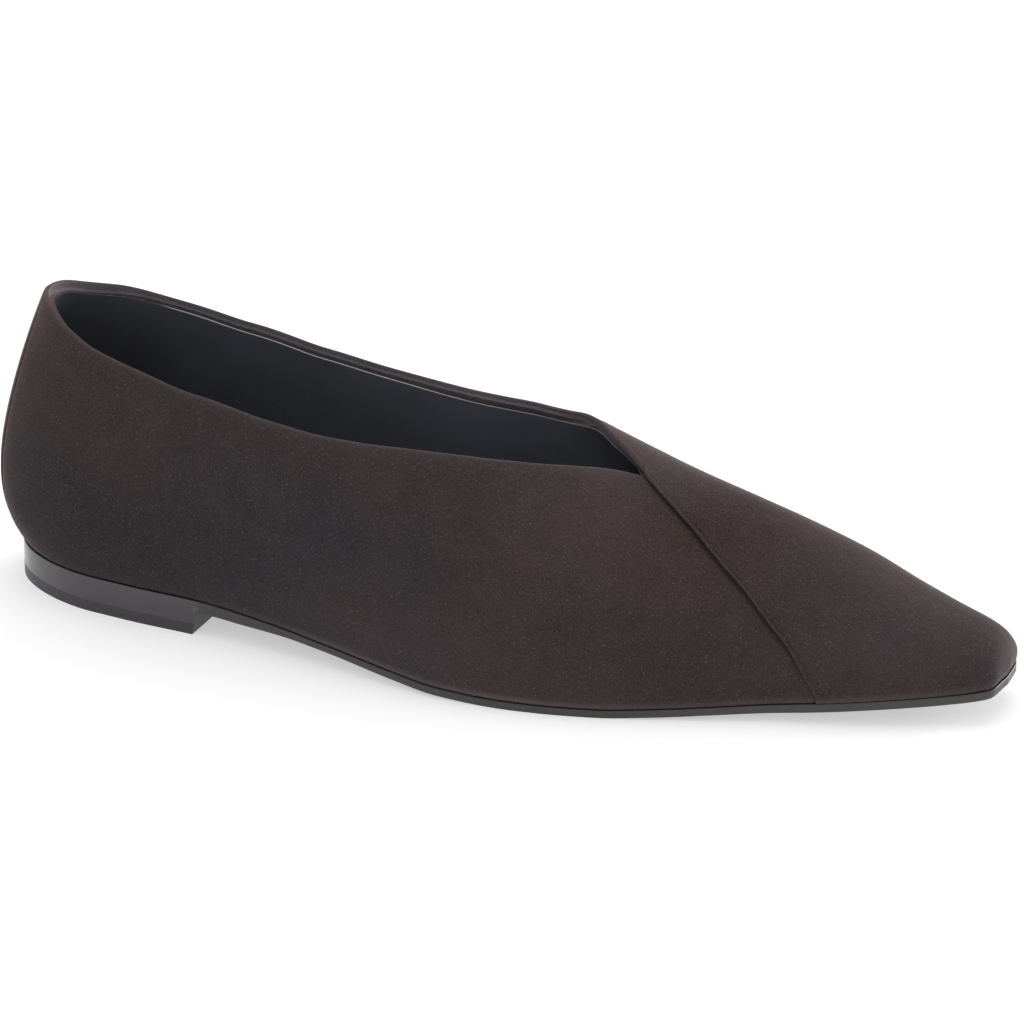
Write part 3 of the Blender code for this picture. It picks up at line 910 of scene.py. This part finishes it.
# %% [markdown]
# The wrap is the larger piece: the inner quarter and the whole vamp in one, folded over the foot and
# laid on the outer quarter. It is two grids that share the hidden line over the vamp, where their
# doubles are merged. It stands one layer proud along its edge and settles onto the last towards the toe.
# Over the instep its inner edge lifts a little, and a painted highlight lightens the nap there.

# %% Wrapped vamp
LIP_STATION = 159.5
LIP_LENGTH = 7.0
LIP_HEIGHT = 0.65
LIP_POWER = 8
BEAD_POWER = 6
CREST_STATION = 134.0
CREST_SPREAD = 24.0
CREST_HIGHLIGHT_TONE = 0.70
CREST_HIGHLIGHT_REACH = 1.7
INNER_STEPS = 96
FRONT_STEPS = 40
FRONT_NOSE_STEPS = 16
MERGE_DISTANCE = 0.01 * MM


def join_sides(mesh, medial_columns):
    """The medial grid runs the other way, so its faces are turned; then the shared line is merged."""
    medial_faces = {face for column in medial_columns for vert in column for face in vert.link_faces}
    bmesh.ops.reverse_faces(mesh, faces=list(medial_faces))
    bmesh.ops.remove_doubles(mesh, verts=mesh.verts, dist=MERGE_DISTANCE)


def crest_painted_highlight(rib, share, length):
    """Over the instep the inner edge turns up to the light, and a painted highlight lightens it further.
    """
    if rib >= THROAT_STATION:
        return 0.0
    along = exp(-((rib - CREST_STATION) / CREST_SPREAD) ** 2)
    below = exp(-((1.0 - share) * length / CREST_HIGHLIGHT_REACH) ** 2)
    return collar_painted_highlight(rib, share, length) + CREST_HIGHLIGHT_TONE * along * below


# Painted highlight and shade by distance from the wrap's edge
def wrap_painted_shading(rib, share, length):
    return WRAP_EDGE_PAINTED_SHADING.at("tone", wrap_distance(rib, share))


def inner_lift(rib, share):
    lip = LIP_HEIGHT * exp(-((rib - LIP_STATION) / LIP_LENGTH) ** 2) * share**LIP_POWER
    return wrap_height(rib) * share + seam_valley(rib, share) * (rib < BACK_SEAM) + lip


def front_lift(rib, share):
    bead = WRAP_BEAD.at("height", wrap_distance(rib, share)) * (1.0 - share**BEAD_POWER)
    return (wrap_height(rib) + bead) * SEAM_SHOW.at("depth", share)


mesh = bmesh.new()
front_ribs = [THROAT_STATION + step for step in WRAP_COLUMNS]
front_ribs += spread(front_ribs[-1], TOE_STATION - NOSE_LENGTH, FRONT_STEPS)[1:]
front_ribs += nose_spread(FRONT_NOSE_STEPS)[1:]
medial_ribs = [-BACK_SEAM + SEAM_GAP + step for step in SEAM_COLUMNS]
medial_ribs += spread(medial_ribs[-1], THROAT_STATION, INNER_STEPS)[1:-1] + front_ribs
suede_notes = {}
medial_columns = grid_of(mesh, len(medial_ribs), SUEDE_ROWS)
lay_suede(medial_columns, medial_ribs, medial_place, inner_lift, crest_painted_highlight, suede_notes)
front_columns = grid_of(mesh, len(front_ribs), SUEDE_ROWS)
lay_suede(front_columns, front_ribs, lateral_place, front_lift, wrap_painted_shading, suede_notes)
join_sides(mesh, medial_columns)
wrap = finish_suede(mesh, suede_notes, "suede_wrap")
join_the_shoe(wrap, "upper")

# %% [markdown]
# The lining is cut a little lower than the collar and stitched onto the fold, so its raw edge shows
# as a pale line below the suede, with a painted highlight along the sides. It lies over the fold at
# the top and against the wall lower down. It is made like the wrap, from two grids on the same ribs,
# and sinks a hair into the fold so that no gap shows between them.

# %% Lining
LINING_THICKNESS = 0.45
LINING_ROWS = 30
ROW_CROWDING = 1.5
COLLAR_STEPS = 88
VAMP_STEPS = 30
LINING_NOSE_STEPS = 10
LINING_TONE = Table(
    ("station", "tone"),
    (
        (0.0, 0.42), (20.0, 0.50), (40.0, 0.65), (75.0, 0.72), (110.0, 0.92),
        (130.0, 1.05), (150.0, 1.45), (158.0, 1.30), (165.0, 0.70),
    ),
)
WALL_CLEARANCE = 0.05
FOLD_BITE = 0.2
FOLD_EASE = Table(("depth", "share"), ((0.0, 1.0), (5.0, 0.95), (14.0, 0.60), (26.0, 0.15), (36.0, 0.0)))


def lay_lining(columns, ribs, place_of):
    for rib, column in zip(ribs, columns):
        length = rib_length(place_of, rib)
        depth = lining_depth(rib, place_of) if rib < THROAT_STATION else 0.0
        top = 1.0 - depth / length
        for row, vert in enumerate(column):
            share = top * (1.0 - (1.0 - row / (LINING_ROWS - 1)) ** ROW_CROWDING)
            station, angle = place_of(rib, share)
            over_fold = max(0.0, fold_thickness(rib) - SINGLE - FOLD_BITE)
            inset = SINGLE + WALL_CLEARANCE + over_fold * FOLD_EASE.at("share", (top - share) * length)
            moved = last_point(station, angle) - last_normal(station, angle) * inset
            moved.z = max(moved.z, LAST.at("feather", abs(station)) + SEAT_GAP)
            vert.co = in_frame(moved)


mesh = bmesh.new()
lining_ribs = spread(0.0, THROAT_STATION, COLLAR_STEPS)[:-1]
lining_ribs += spread(THROAT_STATION, TOE_STATION - NOSE_LENGTH, VAMP_STEPS)
lining_ribs += nose_spread(LINING_NOSE_STEPS)[1:]
lateral_columns = grid_of(mesh, len(lining_ribs), LINING_ROWS)
lay_lining(lateral_columns, lining_ribs, lateral_place)
medial_columns = grid_of(mesh, len(lining_ribs), LINING_ROWS)
lay_lining(medial_columns, lining_ribs, medial_place)
join_sides(mesh, medial_columns)
lining = piece_from(mesh, "lining", [lining_leather, cut_edge])
paleness_and_highlight_values = lining.data.attributes.new("edge_paleness_and_highlight", "FLOAT", "POINT").data
lining_tones = lining.data.attributes.new("lining_tone", "FLOAT", "POINT").data
for vert, paleness_and_highlight, tone in zip(lining.data.vertices, paleness_and_highlight_values, lining_tones):
    station = vert.co.x / MM + MIDDLE.x
    paleness_and_highlight.value = LINING_EDGE.at("paleness_and_highlight", station)
    tone.value = LINING_TONE.at("tone", station)
thick = lining.modifiers.new("leather", "SOLIDIFY")
thick.thickness = LINING_THICKNESS * MM
thick.offset = -1.0
thick.material_offset_rim = 1
join_the_shoe(lining, "upper")

# %% [markdown]
# Plates such as the sock, the outsole and the heel share one way of making: a grid is carried to the
# sole's outline, extruded upwards and given its upper heights. The sock, the outsole and the tip then have
# their edges eased with a bevel.

# %% Plates
PLATE_ROWS = 9
PLATE_MERGE = 0.002 * MM
PLACE_DIGITS = 7
HEEL_STEPS = 24
SIDE_STEPS = 90
NOSE_STEPS = 14


def plan_key(vert):
    return round(vert.co.x, PLACE_DIGITS), round(vert.co.y, PLACE_DIGITS)


def plate(stations, margin, lower, upper):
    """A closed plate between two height functions of the station, out to a margin past the outline."""
    mesh = bmesh.new()
    columns = grid_of(mesh, len(stations), PLATE_ROWS)
    station_of = {}
    for station, column in zip(stations, columns):
        low_side = outline_point(station, -1.0, margin)
        high_side = outline_point(station, 1.0, margin)
        for row, vert in enumerate(column):
            plan = low_side.lerp(high_side, row / (PLATE_ROWS - 1))
            vert.co = in_frame(Vector((plan.x, plan.y, lower(station))))
            station_of[vert] = station
    floor_faces = list(mesh.faces)
    raised = bmesh.ops.extrude_face_region(mesh, geom=floor_faces)
    bottom_by_place = {plan_key(vert): station for vert, station in station_of.items()}
    for item in raised["geom"]:
        if isinstance(item, bmesh.types.BMVert):
            item.co.z = upper(bottom_by_place[plan_key(item)]) * MM
    bmesh.ops.remove_doubles(mesh, verts=mesh.verts, dist=PLATE_MERGE)
    bmesh.ops.dissolve_degenerate(mesh, edges=mesh.edges, dist=PLATE_MERGE)
    bmesh.ops.recalc_face_normals(mesh, faces=mesh.faces)
    return mesh


def feather_height(station):
    return LAST.at("feather", station)


def sole_bottom(station):
    return LAST.at("feather", station) - SOLE.at("thickness", station)


plate_stations = spread(0.0, FAN_STATION, HEEL_STEPS)[:-1]
plate_stations += spread(FAN_STATION, TOE_STATION - NOSE_LENGTH, SIDE_STEPS)
plate_stations += nose_spread(NOSE_STEPS)[1:]
print("plate stations", len(plate_stations))

# %% [markdown]
# The sock is the leather sheet that a foot rests on. It covers the board from toe to heel, and its edge
# lies where the lining comes down to it. A plate inside the sole's outline is enough for it.

# %% Sock
INSOLE_INSET = 2.2
INSOLE_THICKNESS = 2.0
SOCK_EASE = 0.7
mesh = plate(
    plate_stations, -INSOLE_INSET,
    lambda station: feather_height(station) + SEAT_GAP,
    lambda station: feather_height(station) + SEAT_GAP + INSOLE_THICKNESS,
)
sock = piece_from(mesh, "sock", [lining_leather])
sock_tones = sock.data.attributes.new("lining_tone", "FLOAT", "POINT").data
for tone in sock_tones:
    tone.value = 1.0
ease_edges(sock, SOCK_EASE, 3)
join_the_shoe(sock, "insole")

# %% [markdown]
# The outsole is a thin leather plate. It is thicker over the heel seat, thins at the waist, lies flat
# under the ball of the foot and springs up a little at the toe. Its edges are eased by a bmesh bevel and
# not by a modifier, because those that lie on the heel have to stay sharp to meet it without a gap.

# %% Outsole
SOLE_MARGIN = 0.5
SOLE_EASE = 0.32
SEAT_END = 64.5
SEAT_TOLERANCE = 0.5
mesh = plate(plate_stations, SOLE_MARGIN, sole_bottom, feather_height)
seat_end = (SEAT_END - MIDDLE.x) * MM
seat_level = (sole_bottom(0.0) + SEAT_TOLERANCE) * MM


def over_the_heel(item_verts):
    return all(vert.co.x < seat_end for vert in item_verts)


eased = []
for edge in mesh.edges:
    on_the_seat = over_the_heel(edge.verts) and all(vert.co.z < seat_level for vert in edge.verts)
    if edge.calc_face_angle() > radians(EASE_DEGREES) and not on_the_seat:
        eased.append(edge)
bmesh.ops.bevel(
    mesh, geom=eased, offset=SOLE_EASE * MM, segments=3,
    profile=0.5, affect="EDGES", material=-1,
)
for face in mesh.faces:
    face.material_index = 1 if over_the_heel(face.verts) else 0
outsole = piece_from(mesh, "sole_plate", [sole_leather, heel_polish])
join_the_shoe(outsole, "outsole")

# %% [markdown]
# The heel is cut square across at its breast, which leans forward a little at the top. It and the tip
# under it are plates on the same outline, ended at the breast. The breast itself is not polished, so
# its face has the duller finish of the tip. Leaning the vertices of a plate is simpler than a cutter.

# %% Heel and tip
BREAST_STATION = 60.2
BREAST_SLANT = 1.4
BREAST_SKEW = 0.09
BREAST_FACING = 0.7
HEEL_PITCH = 0.1
HEEL_HEIGHT = LAST.at("feather", 0.0) - SOLE.at("thickness", 0.0)
HEEL_TIP_HEIGHT = 3.0
HEEL_MARGIN = 0.5
TIP_MARGIN = 0.55
TIP_EASE = 0.12
BREAST_REACH = 0.2
BREAST_STEPS = 10
heel_stations = spread(0.0, FAN_STATION, HEEL_STEPS)[:-1]
heel_stations += spread(FAN_STATION, BREAST_STATION, BREAST_STEPS)


def heel_plate(margin, low, high):
    mesh = plate(heel_stations, margin, lambda station: low, lambda station: high)
    breast = max(vert.co.x for vert in mesh.verts)
    for vert in mesh.verts:
        place = vert.co / MM + MIDDLE
        share_up = place.z / HEEL_HEIGHT
        rear_share = max(0.0, 1.0 - place.x / FAN_STATION)
        if vert.co.x > breast - BREAST_REACH * MM:
            lean = BREAST_SLANT * share_up
            lean += BREAST_SKEW * (place.y + LAST.at("lateral", BREAST_STATION))
        else:
            lean = HEEL_PITCH * (1.0 - share_up) * rear_share
        vert.co.x += lean * MM
    return mesh


mesh = heel_plate(HEEL_MARGIN, HEEL_TIP_HEIGHT, HEEL_HEIGHT)
for face in mesh.faces:
    face.material_index = 1 if face.normal.x > BREAST_FACING else 0
heel = piece_from(mesh, "heel_block", [heel_polish, tip_rubber])
join_the_shoe(heel, "heel")
mesh = heel_plate(TIP_MARGIN, 0.0, HEEL_TIP_HEIGHT)
heel_tip = piece_from(mesh, "heel_tip_layer", [tip_rubber])
ease_edges(heel_tip, TIP_EASE, 2)
join_the_shoe(heel_tip, "heel_tip")

# %% [markdown]
# The floor is a white acrylic table lit from below, as small product studios have, which keeps shadows
# pale. A little emission does that for a plain sheet, without a second lamp under it. The acrylic has a
# haze too faint to see as a pattern.

# %% Floor
FLOOR_HALF_WIDTH = 4.0
mesh = bmesh.new()
bmesh.ops.create_grid(mesh, x_segments=1, y_segments=1, size=FLOOR_HALF_WIDTH)
floor_acrylic, tree, shader, place = new_finish("white_acrylic_floor")
haze = noise_of(tree, place, size_mm=60.0, detail=2.0)
tree.links.new(two_tone(tree, haze, "#bababa", "#bebebe"), shader.inputs["Base Color"])
shader.inputs["Roughness"].default_value = 0.9
shader.inputs["Specular IOR Level"].default_value = 0.0
shader.inputs["Emission Color"].default_value = linear("#ffffff")
shader.inputs["Emission Strength"].default_value = 0.47
floor = piece_from(mesh, "floor", [floor_acrylic])
print("floor", 2.0 * FLOOR_HALF_WIDTH, "m wide")

# %% [markdown]
# The light is an even glow from all round, one broad soft lamp above, and one low beyond the toe, which
# picks out the snipped front. Small hard lamps would draw sharp shadows that the photograph hasn't got.

# %% Light
world = bpy.data.worlds.new("studio")
world.use_nodes = True
world.node_tree.nodes["Background"].inputs["Color"].default_value = (1.0, 1.0, 1.0, 1.0)
world.node_tree.nodes["Background"].inputs["Strength"].default_value = 0.95
bpy.context.scene.world = world


def soft_lamp(name, place, aim, width, power):
    data = bpy.data.lights.new(name, "AREA")
    data.shape = "DISK"
    data.size = width
    data.energy = power
    lamp = bpy.data.objects.new(name, data)
    lamp.location = place
    lamp.rotation_euler = (Vector(aim) - Vector(place)).to_track_quat("-Z", "Y").to_euler()
    bpy.context.scene.collection.objects.link(lamp)


soft_lamp("overhead", place=(-0.1, 0.30, 1.35), aim=(0.0, 0.0, 0.0), width=1.4, power=9.0)
soft_lamp("toe_side", place=(1.0, 1.0, 0.10), aim=(0.1, 0.0, 0.02), width=1.0, power=32.0)
bpy.context.scene.view_settings.view_transform = "Standard"
